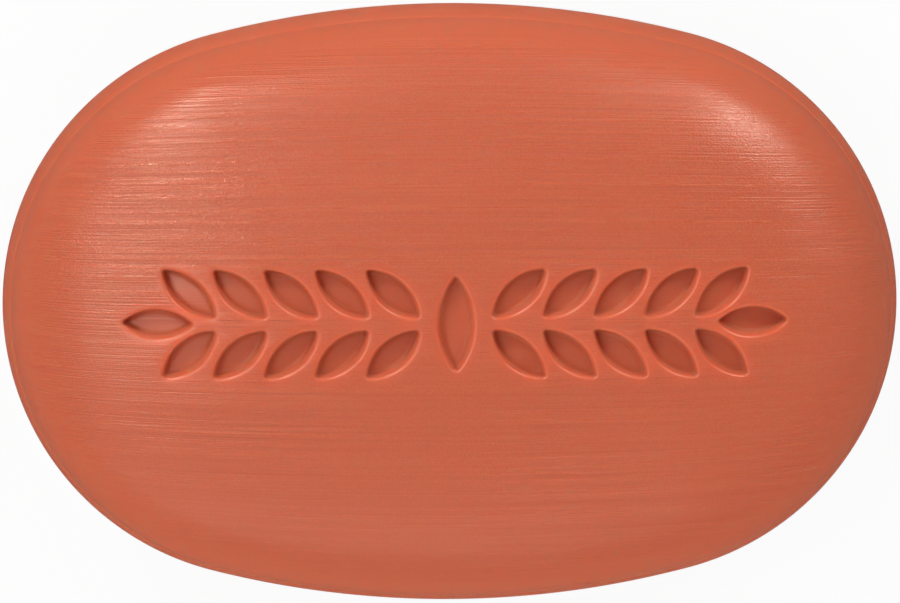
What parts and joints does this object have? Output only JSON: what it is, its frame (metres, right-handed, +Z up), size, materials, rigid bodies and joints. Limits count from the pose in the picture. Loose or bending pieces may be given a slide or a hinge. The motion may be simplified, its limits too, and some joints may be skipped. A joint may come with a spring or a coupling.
{
  "type": "bar of soap",
  "caption": "Oval pressed bar of toilet soap: crowned face with a debossed band of leaves, rounded belt between two fine seams, and a flat oval seat on its back.",
  "frame": {"origin": "centre of the flat seat on the bar's back, at the bottom centre of its bounding box", "axes": "+X along the bar, +Y across the bar, +Z up out of the debossed face"},
  "size_m": [0.09, 0.0604, 0.029],
  "materials": {
    "soap": "warm coral milled soap, satin, with fine paler and darker extrusion streaks along the bar"
  },
  "bodies": {
    "root": {"soap_bar": "soap"}
  },
  "joints": []
}
